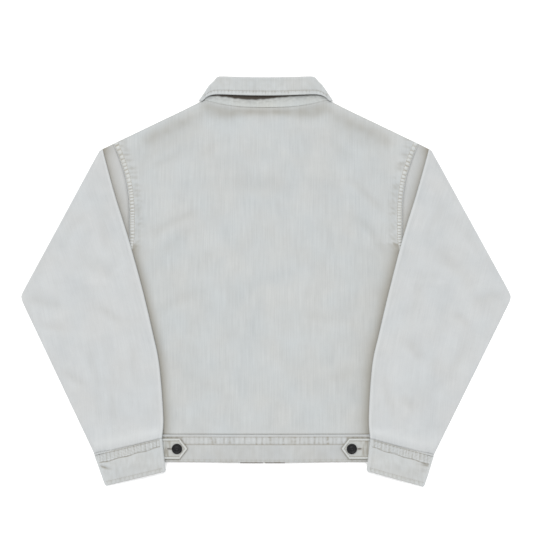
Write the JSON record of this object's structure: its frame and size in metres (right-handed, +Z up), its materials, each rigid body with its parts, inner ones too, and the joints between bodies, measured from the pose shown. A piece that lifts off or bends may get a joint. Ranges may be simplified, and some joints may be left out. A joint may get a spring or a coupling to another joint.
{
  "type": "corduroy jacket",
  "caption": "Boxy zip jacket in washed pale grey fine-wale corduroy, laid flat face down with its sleeves swung in over the back.",
  "frame": {"origin": "centre of the jacket's outline on the surface it lies on", "axes": "+X across the jacket, from its left in the view of the back to its right; +Y from hem to collar; +Z up from the surface"},
  "size_m": [0.8108, 0.6776, 0.0148],
  "materials": {
    "corduroy": "matte",
    "corduroy_band": "matte",
    "button": "satin",
    "zip_tape": "matte",
    "zip_metal": "satin"
  },
  "bodies": {
    "jacket": {"back": "corduroy", "front_left": "corduroy", "front_right": "corduroy", "sleeve_left": "corduroy", "sleeve_right": "corduroy", "collar_stand": "corduroy", "collar_fall": "corduroy", "cuff_left": "corduroy_band", "cuff_right": "corduroy_band", "waistband": "corduroy_band", "tab_left": "corduroy_band", "tab_right": "corduroy_band", "tab_button_left": "button", "tab_button_right": "button", "zip_tape_left": "zip_tape", "zip_tape_right": "zip_tape", "zip_slider": "zip_metal"},
    "pull_tab": {"zip_pull_tab": "zip_metal"}
  },
  "joints": [
    {"name": "pull_tab_swing", "type": "hinge", "parent": "jacket", "child": "pull_tab", "pos_m": [-0.0032, 0.196, 0.00145], "axis": [1, 0, 0], "range_deg": [0, 170]}
  ]
}
